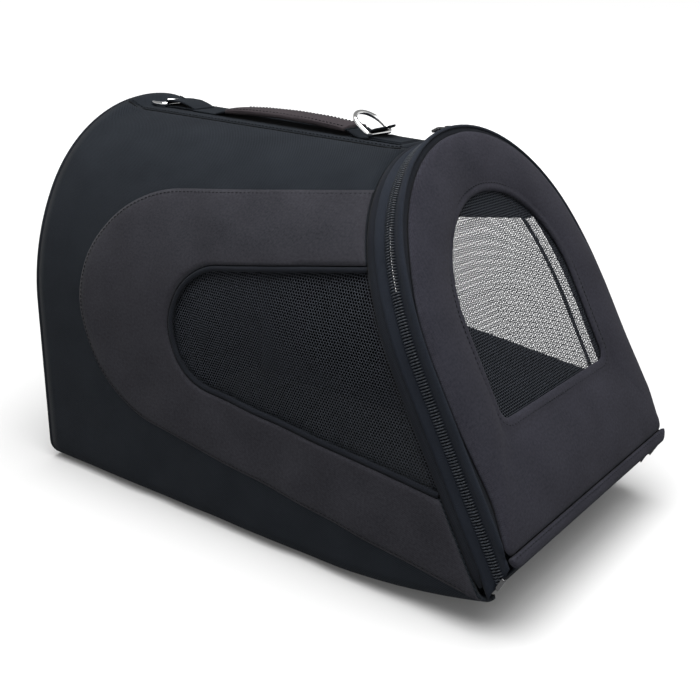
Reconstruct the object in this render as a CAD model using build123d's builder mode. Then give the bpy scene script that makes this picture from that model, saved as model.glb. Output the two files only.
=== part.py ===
from build123d import *

import os
from math import asin, atan2, cos, degrees, radians, sin, tan
from typing import NamedTuple

# Soft pet carrier bag: a fabric tunnel with a round-topped rear panel and a sloping,
# wire-stiffened front door on a fabric hinge, closed by one long zip round the arch.
# Millimetres. +X is the door end, +Y the bag's left, +Z up, and the origin is the
# middle of the flat base, on the floor.

BASE_LENGTH = 418.0
REAR_X = -BASE_LENGTH / 2
FRONT_X = BASE_LENGTH / 2
LEAN = 28.3
FABRIC = 3.0
FIT = 0.3


class Arch(NamedTuple):
    """Round-topped outline: straight legs, shoulder arcs and one crown arc."""

    half_width: float
    spring: float
    apex: float
    crown_radius: float
    foot: float = 0.0
    corner: float = 0.0


REAR_ARCH = Arch(130.0, 136.0, 289.0, 122.0, 0.0, 16.0)
FRONT_ARCH = Arch(126.0, 165.0, 311.0, 122.0, 0.0, 16.0)
BAND_ARCH = Arch(124.0, 168.0, 311.0, 120.0)
DOOR_ARCH = Arch(123.0, 168.0, 311.0, 119.0, 41.0, 6.0)
DOOR_WINDOW = Arch(76.0, 185.0, 263.0, 74.0, 122.0, 8.0)

# Underside: flat, then bowed up towards the door.
BOW_START = 61.0
BOW_END = 193.0
BOW_RISE = 18.0
BOW_RADIUS = ((BOW_END - BOW_START) ** 2 + BOW_RISE**2) / (2 * BOW_RISE)
BASE_HALF_WIDTH = 112.0
BASE_TOP = 60.0
BOARD_HALF_WIDTH = 108.0
PAD_HALF_WIDTH = 107.0
PAD_THICK = 10.0
BOARD_REAR = REAR_X + 10
BOARD_FRONT = BOW_END - 16
HINGE_HALF_WIDTH = 115.5

# Roof strip between the two side panels: it narrows and drops towards the door.
ROOF_REAR_HALF = 28.0
ROOF_FRONT_HALF = 21.0
ROOF_REAR_Z = 281.0
ROOF_FRONT_Z = 271.0
ROOF_FRONT_X = FRONT_X - ROOF_FRONT_Z * tan(radians(LEAN))
ROOF_SLOPE = (ROOF_FRONT_Z - ROOF_REAR_Z) / (ROOF_FRONT_X - REAR_X)

# Side window and the facing round it: a rear circle whose two tangents run to the door.
WINDOW_CENTRE = (-18.0, 150.0)
WINDOW_RADIUS = 46.0
WINDOW_RISE = 8.4
WINDOW_FALL = 6.5
FACING_CENTRE = (-73.0, 151.0)
FACING_RADIUS = 87.0
FACING_RISE = 5.4
FACING_FALL = 8.2
FACING_THICK = 1.0
TRIM_WIDTH = 3.0
MESH_LAP = 5.0
MESH_THICK = 0.8

PIPING_RADIUS = 2.2
PIPING_INSET = 2.4
PIPING_STANDOFF = 2.5
WIRE_RADIUS = 1.4
WIRE_INSET = 7.5
REAR_HOOP_CROWN = 110.0

# Zip band between body and door, square to the door plane. Depths count from BAND_ARCH
# inwards, stations along the band from the body's front edge to the door.
GUSSET = 28.4
TAPE_DEPTH = (3.2, 4.0)
COIL_DEPTH = (1.3, 3.1)
BODY_TAPE = (0.3, 15.2)
BODY_COIL = (12.6, 15.7)
DOOR_COIL = (17.3, 20.4)
DOOR_TAPE = (17.8, 28.1)
CHAIN_STATION = 16.5
BODY_FOOT = 26.0
DOOR_FOOT = 45.0
STOP_FEET = (26.0, 30.0)

SLIDER_HALF_ANGLE = 3.4
SLIDER_REST = {"slider_a": 84.0, "slider_b": 76.0}
SLIDER_STATIONS = (11.6, 21.4)
PLATE_DEPTH = (-0.6, 1.0)
UNDERPLATE_DEPTH = (4.3, 5.7)
POST_HALF = 0.45
BRIDGE_HALF = 0.6
BRIDGE_REACH = 4.0
BRIDGE_DEPTH = (-4.6, -3.2)
PIN_RADIUS = 0.7
PIN_DEPTH = -1.7
PULL_LENGTH = 20.0
PULL_HALF_WIDTH = 3.2
PULL_SLOT = (7.0, 1.3)

DOOR_THICK = 4.0
HEM_TOP = 49.7
SEAM_V = 50.0

RING_WIRE = 1.7
RING_HALF_WIDTH = 14.0
RING_ARM = 8.4
TAB_HALF_WIDTH = 11.3
TAB_THICK = 1.2
REAR_RING_X = -181.0
FRONT_RING_X = 24.5
FRONT_RING_LIFT = 4.8
FRONT_RING_TILT = 36.0
STRAP_HALF_WIDTH = 12.3
STRAP_THICK = 1.5

GRIP_HALF_WIDTH = 13.6
GRIP_THICK = 5.0
GRIP_ENDS = (-115.0, 4.0)
HANDLE_LINE = ((-124.0, 280.6), (-115.0, 282.6), (-60.0, 283.4), (3.6, 278.6))

REAR = Plane(origin=(REAR_X, 0, 0), x_dir=(0, 1, 0), z_dir=(1, 0, 0))
FRONT = Plane(
    origin=(FRONT_X, 0, 0),
    x_dir=(0, 1, 0),
    z_dir=(cos(radians(LEAN)), 0, sin(radians(LEAN))),
)
CROWN_CENTRE_V = BAND_ARCH.apex - BAND_ARCH.crown_radius


def inset(arch, by):
    """The parallel outline a distance inside, or outside for a negative distance."""
    return Arch(
        arch.half_width - by,
        arch.spring,
        arch.apex - by,
        arch.crown_radius - by,
        arch.foot + by,
        max(arch.corner - by, 0.0),
    )


def arch_edges(arch, floor=True, about=Plane.YZ):
    """Draws the arch in the open BuildLine: one half, then its mirror image."""
    width = arch.half_width
    height = arch.apex - arch.spring
    crown = arch.crown_radius
    shoulder_radius = (width**2 + height**2 - 2 * height * crown) / (2 * (width - crown))
    turn = degrees(atan2(height - crown, shoulder_radius - width))
    if floor:
        Line((0, arch.foot), (width - arch.corner, arch.foot))
    if floor and arch.corner > 0:
        CenterArc((width - arch.corner, arch.foot + arch.corner), arch.corner, -90, 90)
    leg_start = arch.foot + arch.corner if floor else arch.foot
    Line((width, leg_start), (width, arch.spring))
    CenterArc((width - shoulder_radius, arch.spring), shoulder_radius, 0, turn)
    CenterArc((0, arch.apex - arch.crown_radius), arch.crown_radius, turn, 90 - turn)
    mirror(about=about)


def tunnel(by):
    """The bag's tapering tunnel from rear outline to front outline, as one solid."""
    with BuildPart() as body:
        with BuildSketch(REAR):
            with BuildLine():
                arch_edges(inset(REAR_ARCH, by))
            make_face()
        with BuildSketch(FRONT):
            with BuildLine():
                arch_edges(inset(FRONT_ARCH, by))
            make_face()
        loft()
    return body.part


def bow_edges(low, high, start_x, end_x):
    """Draws a slab profile that lies flat and then follows the bowed underside."""
    turn = degrees(asin((end_x - BOW_START) / BOW_RADIUS))
    centre = (BOW_START, BOW_RADIUS)
    Line((start_x, high), (start_x, low))
    Line((start_x, low), (BOW_START, low))
    lower = CenterArc(centre, BOW_RADIUS - low, -90, turn)
    Line((start_x, high), (BOW_START, high))
    upper = CenterArc(centre, BOW_RADIUS - high, -90, turn)
    Line(lower @ 1, upper @ 1)


def above_bow(low):
    """Everything above the bowed underside, raised by a wall thickness."""
    with BuildPart() as room:
        with BuildSketch(Plane.XZ):
            with BuildLine():
                turn = degrees(asin((FRONT_X + 20 - BOW_START) / BOW_RADIUS))
                sole = CenterArc((BOW_START, BOW_RADIUS), BOW_RADIUS - low, -90, turn)
                front_end = sole @ 1
                Polyline(
                    (BOW_START, low),
                    (REAR_X - 20, low),
                    (REAR_X - 20, 340),
                    (front_end.X, 340),
                    front_end,
                )
            make_face()
        extrude(amount=160, both=True)
    return room.part


def bowed_tunnel(by):
    """The tunnel, with its underside bowed up towards the door."""
    with BuildPart() as body:
        add(tunnel(by))
        add(above_bow(max(by, 0.0)), mode=Mode.INTERSECT)
    return body.part


def skin(outer, inner):
    """A layer of the tunnel's wall between two depths, open at both ends."""
    with BuildPart() as layer:
        add(bowed_tunnel(outer))
        add(bowed_tunnel(inner), mode=Mode.SUBTRACT)
    return layer.part


def teardrop_edges(centre, radius, rise, fall, grow=0.0):
    """Draws a rear circle with its two tangents running on past the front edge."""
    size = radius + grow
    top = (centre[0] - size * sin(radians(rise)), centre[1] + size * cos(radians(rise)))
    bottom = (centre[0] - size * sin(radians(fall)), centre[1] - size * cos(radians(fall)))
    reach = FRONT_X + 30
    top_end = (reach, top[1] + (reach - top[0]) * tan(radians(rise)))
    bottom_end = (reach, bottom[1] - (reach - bottom[0]) * tan(radians(fall)))
    CenterArc(centre, size, 90 + rise, 180 - rise - fall)
    Polyline(bottom, bottom_end, top_end, top)


def window_prism(grow=0.0):
    """The side window's outline, cut right through both sides."""
    with BuildPart() as prism:
        with BuildSketch(Plane.XZ):
            with BuildLine():
                teardrop_edges(WINDOW_CENTRE, WINDOW_RADIUS, WINDOW_RISE, WINDOW_FALL, grow)
            make_face()
        extrude(amount=160, both=True)
    return prism.part


def facing_prism():
    """The charcoal facing's outer outline, cut right through both sides."""
    with BuildPart() as prism:
        with BuildSketch(Plane.XZ):
            with BuildLine():
                teardrop_edges(FACING_CENTRE, FACING_RADIUS, FACING_RISE, FACING_FALL)
            make_face()
        extrude(amount=160, both=True)
    return prism.part


def roof_wedge(shrink=0.0):
    """The upright wedge of space that the roof strip takes between the sides."""
    rear_half = ROOF_REAR_HALF - shrink
    front_half = ROOF_FRONT_HALF - shrink
    with BuildPart() as wedge:
        with BuildSketch(Plane.XY.offset(200)):
            with BuildLine():
                Polyline(
                    (REAR_X, -rear_half),
                    (ROOF_FRONT_X + 6, -front_half),
                    (ROOF_FRONT_X + 6, front_half),
                    (REAR_X, rear_half),
                    close=True,
                )
            make_face()
        extrude(amount=120)
    return wedge.part


def arch_band(depths, foot, arch=BAND_ARCH):
    """The open arch-shaped strip between two depths, standing on a given foot."""
    with BuildSketch() as strip:
        with BuildLine():
            arch_edges(inset(arch, depths[0])._replace(foot=foot, corner=0.0))
        make_face()
        with BuildLine():
            arch_edges(inset(arch, depths[1])._replace(foot=foot - 1, corner=0.0))
        make_face(mode=Mode.SUBTRACT)
    return strip.sketch


def crown_sector(depths, centre_angle, half_angle):
    """A short piece of the crown arc between two depths, in the band's own plane."""
    outer = BAND_ARCH.crown_radius - depths[0]
    inner = BAND_ARCH.crown_radius - depths[1]
    centre = (0, CROWN_CENTRE_V)
    start = centre_angle - half_angle
    with BuildSketch() as sector:
        with BuildLine():
            near = CenterArc(centre, inner, start, 2 * half_angle)
            far = CenterArc(centre, outer, start, 2 * half_angle)
            Line(near @ 0, far @ 0)
            Line(near @ 1, far @ 1)
        make_face()
    return sector.sketch


def roof_z(x):
    """Height of the roof strip's outer face."""
    return ROOF_REAR_Z + ROOF_SLOPE * (x - REAR_X)


def write(builder, name):
    """Labels a finished sub-part and writes its file."""
    builder.part.label = name
    export_step(builder.part, f"parts/{name}.step")


os.makedirs("parts", exist_ok=True)
SHELL = skin(0.0, FABRIC)
WINDOW = window_prism()

# ---- Body shell -------------------------------------------------------------------

for side, keep in (("right", Keep.TOP), ("left", Keep.BOTTOM)):
    with BuildPart() as side_panel:
        add(SHELL)
        add(WINDOW, mode=Mode.SUBTRACT)
        add(roof_wedge(), mode=Mode.SUBTRACT)
        with BuildSketch(Plane.XY.offset(-1)):
            Rectangle(2 * BASE_LENGTH, 2 * BASE_HALF_WIDTH)
            with Locations((FRONT_X, 0)):
                Rectangle(2 * (FRONT_X - BOW_END), 2 * (HINGE_HALF_WIDTH + FIT))
        extrude(amount=BASE_TOP, mode=Mode.SUBTRACT)
        split(bisect_by=Plane.XZ, keep=keep)
    write(side_panel, f"side_panel_{side}")

    with BuildPart() as side_facing:
        add(skin(-FACING_THICK, 0.0))
        add(facing_prism(), mode=Mode.INTERSECT)
        add(WINDOW, mode=Mode.SUBTRACT)
        split(bisect_by=Plane.XZ, keep=keep)
    write(side_facing, f"side_facing_{side}")

    with BuildPart() as side_mesh:
        add(skin(FABRIC + FIT, FABRIC + FIT + MESH_THICK))
        add(window_prism(MESH_LAP), mode=Mode.INTERSECT)
        split(bisect_by=Plane.XZ, keep=keep)
    write(side_mesh, f"side_mesh_{side}")

    with BuildPart() as window_piping:
        add(skin(-2 * FACING_THICK, FABRIC))
        add(WINDOW, mode=Mode.INTERSECT)
        add(window_prism(-TRIM_WIDTH), mode=Mode.SUBTRACT)
        split(bisect_by=Plane.XZ, keep=keep)
    write(window_piping, f"window_piping_{side}")

with BuildPart() as base_panel:
    with BuildSketch(Plane.XZ):
        with BuildLine():
            bow_edges(0, FABRIC, REAR_X, BOW_END)
        make_face()
    extrude(amount=BASE_HALF_WIDTH, both=True)
write(base_panel, "base_panel")

with BuildPart() as roof_panel:
    with BuildSketch(Plane.XZ):
        with BuildLine():
            Polyline(
                (REAR_X + FABRIC + FIT, roof_z(REAR_X + FABRIC + FIT)),
                (ROOF_FRONT_X, ROOF_FRONT_Z),
                (ROOF_FRONT_X + FABRIC * tan(radians(LEAN)), ROOF_FRONT_Z - FABRIC),
                (REAR_X + FABRIC + FIT, roof_z(REAR_X + FABRIC + FIT) - FABRIC),
                close=True,
            )
        make_face()
    extrude(amount=ROOF_REAR_HALF, both=True)
    add(roof_wedge(0.2), mode=Mode.INTERSECT)
write(roof_panel, "roof_panel")

with BuildPart() as rear_panel:
    with BuildSketch(REAR):
        with BuildLine():
            arch_edges(inset(REAR_ARCH, FABRIC + FIT))
        make_face()
    extrude(amount=FABRIC)
write(rear_panel, "rear_panel")

# The fabric hinge rises from the bowed base to the foot of the door.
with BuildPart() as hinge_strip:
    base_edge = Vector(BOW_END + 1.2, BOW_RISE + 1.8)
    hinge_point = FRONT.from_local_coords((0, DOOR_ARCH.foot, GUSSET))
    door_edge = Vector(hinge_point.X - 1.0, hinge_point.Z - 1.4)
    run = door_edge - base_edge
    with BuildSketch(Plane.XZ):
        with Locations((base_edge + door_edge) / 2):
            Rectangle(run.length, 1.6, rotation=degrees(atan2(run.Y, run.X)))
    extrude(amount=HINGE_HALF_WIDTH, both=True)
write(hinge_strip, "hinge_strip")

# ---- Trim and wire hoops ----------------------------------------------------------

with BuildPart() as rear_piping:
    with BuildLine(REAR.offset(-PIPING_STANDOFF)) as rear_bead:
        arch_edges(inset(REAR_ARCH, PIPING_INSET), about=Plane.XZ)
    rear_path = rear_bead.wire()
    with BuildSketch(Plane(origin=rear_path @ 0, z_dir=rear_path % 0)):
        Circle(PIPING_RADIUS)
    sweep(path=rear_path)
write(rear_piping, "rear_piping")

with BuildPart() as front_piping:
    with BuildLine(FRONT.offset(PIPING_STANDOFF)) as front_bead:
        arch_edges(
            inset(FRONT_ARCH, PIPING_INSET)._replace(foot=BODY_FOOT),
            floor=False,
            about=Plane.XZ,
        )
    front_path = front_bead.wire()
    with BuildSketch(Plane(origin=front_path @ 0, z_dir=front_path % 0)):
        Circle(PIPING_RADIUS)
    sweep(path=front_path)
write(front_piping, "front_piping")

with BuildPart() as rear_hoop_wire:
    with BuildLine(REAR.offset(2 * FABRIC)) as rear_hoop:
        arch_edges(
            inset(REAR_ARCH, WIRE_INSET)._replace(
                apex=ROOF_REAR_Z - FABRIC - WIRE_RADIUS - 2 * FIT,
                crown_radius=REAR_HOOP_CROWN,
                corner=20.0,
            ),
            about=Plane.XZ,
        )
    rear_hoop_path = rear_hoop.wire()
    with BuildSketch(Plane(origin=rear_hoop_path @ 0, z_dir=rear_hoop_path % 0)):
        Circle(WIRE_RADIUS)
    sweep(path=rear_hoop_path)
write(rear_hoop_wire, "rear_hoop_wire")

with BuildPart() as front_hoop_wire:
    with BuildLine(FRONT.offset(-2 * FABRIC)) as front_hoop:
        arch_edges(
            inset(FRONT_ARCH, WIRE_INSET)._replace(foot=40.0), floor=False, about=Plane.XZ
        )
    front_hoop_path = front_hoop.wire()
    with BuildSketch(Plane(origin=front_hoop_path @ 0, z_dir=front_hoop_path % 0)):
        Circle(WIRE_RADIUS)
    sweep(path=front_hoop_path)
write(front_hoop_wire, "front_hoop_wire")

# ---- Floor ------------------------------------------------------------------------

with BuildPart() as base_board:
    with BuildSketch(Plane.XZ):
        with BuildLine():
            bow_edges(FABRIC + FIT, 2 * FABRIC + FIT, BOARD_REAR, BOARD_FRONT)
        make_face()
    extrude(amount=BOARD_HALF_WIDTH, both=True)
write(base_board, "base_board")

with BuildPart() as floor_pad:
    with BuildSketch(Plane.XZ):
        with BuildLine():
            underside = 2 * FABRIC + 2 * FIT
            bow_edges(underside, underside + PAD_THICK, BOARD_REAR + 2, BOARD_FRONT - 2)
        make_face()
    extrude(amount=PAD_HALF_WIDTH, both=True)
write(floor_pad, "floor_pad")

# ---- Zip: body half ---------------------------------------------------------------

with BuildPart() as zip_tape_body:
    with BuildSketch(FRONT.offset(BODY_TAPE[0])):
        add(arch_band(TAPE_DEPTH, BODY_FOOT))
    extrude(amount=BODY_TAPE[1] - BODY_TAPE[0])
write(zip_tape_body, "zip_tape_body")

with BuildPart() as zip_coil_body:
    with BuildSketch(FRONT.offset(BODY_COIL[0])):
        add(arch_band(COIL_DEPTH, STOP_FEET[1] + FIT))
    extrude(amount=BODY_COIL[1] - BODY_COIL[0])
write(zip_coil_body, "zip_coil_body")

with BuildPart() as zip_end_stops:
    with BuildSketch(FRONT.offset(BODY_COIL[0])):
        for hand in (-1, 1):
            with Locations((hand * (BAND_ARCH.half_width - 2.2), sum(STOP_FEET) / 2)):
                Rectangle(1.8, STOP_FEET[1] - STOP_FEET[0])
    extrude(amount=DOOR_COIL[1] - BODY_COIL[0])
write(zip_end_stops, "zip_end_stops")

# ---- Door -------------------------------------------------------------------------

with BuildPart() as door_panel:
    with BuildSketch(FRONT.offset(GUSSET)):
        with BuildLine():
            arch_edges(DOOR_ARCH._replace(foot=SEAM_V, corner=4.0))
        make_face()
        with BuildLine():
            arch_edges(DOOR_WINDOW)
        make_face(mode=Mode.SUBTRACT)
    extrude(amount=DOOR_THICK)
write(door_panel, "door_panel")

with BuildPart() as door_hem:
    with BuildSketch(FRONT.offset(GUSSET)):
        with Locations((0, (DOOR_ARCH.foot + HEM_TOP) / 2)):
            Rectangle(2 * DOOR_ARCH.half_width - 2, HEM_TOP - DOOR_ARCH.foot)
    extrude(amount=DOOR_THICK - 0.5)
write(door_hem, "door_hem")

with BuildPart() as door_mesh:
    with BuildSketch(FRONT.offset(GUSSET - MESH_THICK)):
        with BuildLine():
            arch_edges(inset(DOOR_WINDOW, -MESH_LAP))
        make_face()
    extrude(amount=MESH_THICK)
write(door_mesh, "door_mesh")

with BuildPart() as door_piping:
    with BuildLine(FRONT.offset(GUSSET - PIPING_RADIUS)) as door_bead:
        arch_edges(DOOR_ARCH._replace(foot=HEM_TOP), floor=False, about=Plane.XZ)
    door_bead_path = door_bead.wire()
    with BuildSketch(Plane(origin=door_bead_path @ 0, z_dir=door_bead_path % 0)):
        Circle(PIPING_RADIUS - FIT)
    sweep(path=door_bead_path)
write(door_piping, "door_piping")

with BuildPart() as door_hoop_wire:
    with BuildLine(FRONT.offset(GUSSET - 3.0)) as door_hoop:
        arch_edges(
            inset(DOOR_ARCH, WIRE_INSET)._replace(foot=SEAM_V + 8, corner=14.0), about=Plane.XZ
        )
    door_hoop_path = door_hoop.wire()
    with BuildSketch(Plane(origin=door_hoop_path @ 0, z_dir=door_hoop_path % 0)):
        Circle(WIRE_RADIUS)
    sweep(path=door_hoop_path)
write(door_hoop_wire, "door_hoop_wire")

with BuildPart() as zip_tape_door:
    with BuildSketch(FRONT.offset(DOOR_TAPE[0])):
        add(arch_band(TAPE_DEPTH, DOOR_FOOT))
    extrude(amount=DOOR_TAPE[1] - DOOR_TAPE[0])
write(zip_tape_door, "zip_tape_door")

with BuildPart() as zip_coil_door:
    with BuildSketch(FRONT.offset(DOOR_COIL[0])):
        add(arch_band(COIL_DEPTH, DOOR_FOOT))
    extrude(amount=DOOR_COIL[1] - DOOR_COIL[0])
write(zip_coil_door, "zip_coil_door")

# ---- Zip sliders and their pulls --------------------------------------------------
# Each slider rides the crown arc. Its plates lie above and below the two coils, joined
# by a thin post in the gap between them, and stay open on the door's side.

for name, angle in SLIDER_REST.items():
    away = 1 if name == "slider_a" else -1
    with BuildPart() as slider:
        with BuildSketch(FRONT.offset(SLIDER_STATIONS[0])):
            add(crown_sector(PLATE_DEPTH, angle, SLIDER_HALF_ANGLE))
            add(crown_sector(UNDERPLATE_DEPTH, angle, SLIDER_HALF_ANGLE))
        extrude(amount=SLIDER_STATIONS[1] - SLIDER_STATIONS[0])
        with BuildSketch(FRONT.offset(SLIDER_STATIONS[0])):
            add(crown_sector((PLATE_DEPTH[1] - 0.2, 2.6), angle, SLIDER_HALF_ANGLE))
        extrude(amount=0.6)
        with BuildSketch(FRONT.offset(CHAIN_STATION - POST_HALF)):
            add(crown_sector((PLATE_DEPTH[1] - 0.2, UNDERPLATE_DEPTH[0] + 0.2), angle, 1.2))
        extrude(amount=2 * POST_HALF)
        with BuildSketch(FRONT.offset(CHAIN_STATION - BRIDGE_HALF)):
            reach = degrees(BRIDGE_REACH / BAND_ARCH.crown_radius)
            add(crown_sector(BRIDGE_DEPTH, angle, reach + 0.6))
            for end in (-1, 1):
                add(crown_sector((BRIDGE_DEPTH[0], PLATE_DEPTH[0] + 0.2), angle + end * reach, 0.6))
        extrude(amount=2 * BRIDGE_HALF)
    write(slider, name)

    # The pull's end bar lies under the bridge, across the chain, and is its pivot.
    pivot_radius = BAND_ARCH.crown_radius - PIN_DEPTH
    pivot = FRONT.from_local_coords(
        (
            pivot_radius * cos(radians(angle)),
            CROWN_CENTRE_V + pivot_radius * sin(radians(angle)),
            CHAIN_STATION,
        )
    )
    along = Vector(-sin(radians(angle)) * away, cos(radians(angle)) * away, 0)
    pull_plane = Plane(
        origin=pivot,
        x_dir=FRONT.from_local_coords(along) - FRONT.origin,
        z_dir=FRONT.from_local_coords((cos(radians(angle)), sin(radians(angle)), 0)) - FRONT.origin,
    )
    with BuildPart() as pull:
        with BuildSketch(pull_plane.offset(-PIN_RADIUS)):
            with Locations((PULL_LENGTH / 2, 0)):
                RectangleRounded(PULL_LENGTH, 2 * PULL_HALF_WIDTH, 1.5)
            with Locations((PIN_RADIUS + PULL_SLOT[0] / 2, 0)):
                Rectangle(PULL_SLOT[0], 2 * PULL_SLOT[1], mode=Mode.SUBTRACT)
            with Locations((PULL_LENGTH - 4.5, 0)):
                Circle(1.5, mode=Mode.SUBTRACT)
        extrude(amount=2 * PIN_RADIUS)
        with BuildSketch(Plane(origin=pivot, z_dir=FRONT.z_dir)):
            Circle(PIN_RADIUS)
        extrude(amount=PULL_HALF_WIDTH, both=True)
    write(pull, name.replace("slider", "pull"))

# ---- D-rings and their webbing tabs -----------------------------------------------


def ring_plane(x, z, tilt):
    """Plane of a D-ring lying back from its bar, raised by a tilt."""
    return Plane(
        origin=(x, 0, z),
        x_dir=(-cos(radians(tilt)), 0, sin(radians(tilt))),
        z_dir=(sin(radians(tilt)), 0, cos(radians(tilt))),
    )


def ring_edges():
    """Draws the D: a straight bar, two short arms and a round nose."""
    Line((0, 0), (0, RING_HALF_WIDTH - 3))
    CenterArc((3, RING_HALF_WIDTH - 3), 3, 90, 90)
    Line((3, RING_HALF_WIDTH), (RING_ARM, RING_HALF_WIDTH))
    CenterArc((RING_ARM, 0), RING_HALF_WIDTH, 0, 90)


REAR_RING_Z = roof_z(REAR_RING_X) + RING_WIRE + TAB_THICK + 2 * FIT
FRONT_RING_Z = roof_z(FRONT_RING_X) + FRONT_RING_LIFT
RINGS = {
    "rear": (REAR_RING_X, REAR_RING_Z, 0.0),
    "front": (FRONT_RING_X, FRONT_RING_Z, FRONT_RING_TILT),
}

for name, (ring_x, ring_z, tilt) in RINGS.items():
    lying = ring_plane(ring_x, ring_z, tilt)
    with BuildPart() as d_ring:
        with BuildLine(lying) as bend:
            ring_edges()
            mirror(about=Plane.XZ)
        bend_path = bend.wire()
        with BuildSketch(Plane(origin=bend_path @ 0, z_dir=bend_path % 0)):
            Circle(RING_WIRE)
        sweep(path=bend_path)
    write(d_ring, f"d_ring_{name}")

loop_inner = RING_WIRE + FIT
loop_outer = loop_inner + TAB_THICK

# Rear tab: a webbing loop round the bar, its tails stitched down ahead of it.
with BuildPart() as ring_tab_rear:
    with BuildSketch(Plane.XZ):
        with Locations((REAR_RING_X, REAR_RING_Z)):
            Circle(loop_outer)
        with Locations((REAR_RING_X + 14, REAR_RING_Z)):
            Rectangle(28, 2 * loop_outer)
        with Locations((REAR_RING_X, REAR_RING_Z)):
            Circle(loop_inner, mode=Mode.SUBTRACT)
    extrude(amount=TAB_HALF_WIDTH, both=True)
    with BuildSketch(Plane.XZ):
        with BuildLine():
            Polyline(
                (REAR_RING_X - 10, roof_z(REAR_RING_X - 10) + 0.05),
                (REAR_RING_X + 40, roof_z(REAR_RING_X + 40) + 0.05),
                (REAR_RING_X + 40, 300),
                (REAR_RING_X - 10, 300),
                close=True,
            )
        make_face()
    extrude(amount=TAB_HALF_WIDTH, both=True, mode=Mode.INTERSECT)
write(ring_tab_rear, "ring_tab_rear")

# Front tab: the loop stands on folded webbing, and its pointed end lifts off the roof.
with BuildPart() as ring_tab_front:
    with BuildSketch(Plane.XZ):
        with Locations((FRONT_RING_X, FRONT_RING_Z)):
            Circle(loop_outer)
        with BuildLine():
            Polyline(
                (FRONT_RING_X + 2, FRONT_RING_Z - loop_outer + 0.3),
                (FRONT_RING_X - 1, roof_z(FRONT_RING_X - 1) + STRAP_THICK + 0.05),
                (FRONT_RING_X + 26, roof_z(FRONT_RING_X + 26) + STRAP_THICK + 0.05),
                (FRONT_RING_X + 12, FRONT_RING_Z + 4.4),
                (FRONT_RING_X + 12, FRONT_RING_Z + 6.4),
                (FRONT_RING_X + 3, FRONT_RING_Z + 2.8),
                close=True,
            )
        make_face()
        with Locations((FRONT_RING_X, FRONT_RING_Z)):
            Circle(loop_inner, mode=Mode.SUBTRACT)
    extrude(amount=TAB_HALF_WIDTH, both=True)
write(ring_tab_front, "ring_tab_front")

# ---- Handle -----------------------------------------------------------------------

with BuildPart() as handle_anchor_rear:
    start_x, end_x = REAR_RING_X + 28.5, HANDLE_LINE[0][0] - 1.0
    with BuildSketch(Plane.XZ):
        with BuildLine():
            Polyline(
                (start_x, roof_z(start_x) + 0.02),
                (end_x, roof_z(end_x) + 0.02),
                (end_x, roof_z(end_x) + STRAP_THICK),
                (start_x, roof_z(start_x) + STRAP_THICK),
                close=True,
            )
        make_face()
    extrude(amount=STRAP_HALF_WIDTH, both=True)
write(handle_anchor_rear, "handle_anchor_rear")

# The front anchor climbs from the roof to the mouth of the grip.
with BuildPart() as handle_anchor_front:
    mouth_x, foot_x, end_x = GRIP_ENDS[1] + 0.9, 12.0, 52.0
    with BuildSketch(Plane.XZ):
        with BuildLine():
            Polyline(
                (mouth_x, 277.4),
                (foot_x, roof_z(foot_x) + 0.02),
                (end_x, roof_z(end_x) + 0.02),
                (end_x, roof_z(end_x) + STRAP_THICK),
                (foot_x + 1, roof_z(foot_x + 1) + STRAP_THICK),
                (mouth_x, 279.2),
                close=True,
            )
        make_face()
    extrude(amount=STRAP_HALF_WIDTH, both=True)
write(handle_anchor_front, "handle_anchor_front")

with BuildPart() as handle_webbing:
    with BuildSketch(Plane.XZ):
        with BuildLine() as webbing_line:
            Spline(*HANDLE_LINE)
        trace(line_width=STRAP_THICK)
    extrude(amount=STRAP_HALF_WIDTH, both=True)
write(handle_webbing, "handle_webbing")

with BuildPart() as handle_grip:
    with BuildSketch(Plane.XZ):
        with BuildLine() as grip_line:
            Spline(*HANDLE_LINE)
        trace(line_width=GRIP_THICK)
        with Locations((sum(GRIP_ENDS) / 2, 280)):
            Rectangle(GRIP_ENDS[1] - GRIP_ENDS[0], 60, mode=Mode.INTERSECT)
    extrude(amount=GRIP_HALF_WIDTH, both=True)
    add(handle_webbing.part, mode=Mode.SUBTRACT)
write(handle_grip, "handle_grip")
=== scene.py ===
import math
from collections import namedtuple

import bmesh
import bpy
import numpy as np
from mathutils import Matrix, Vector


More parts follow.
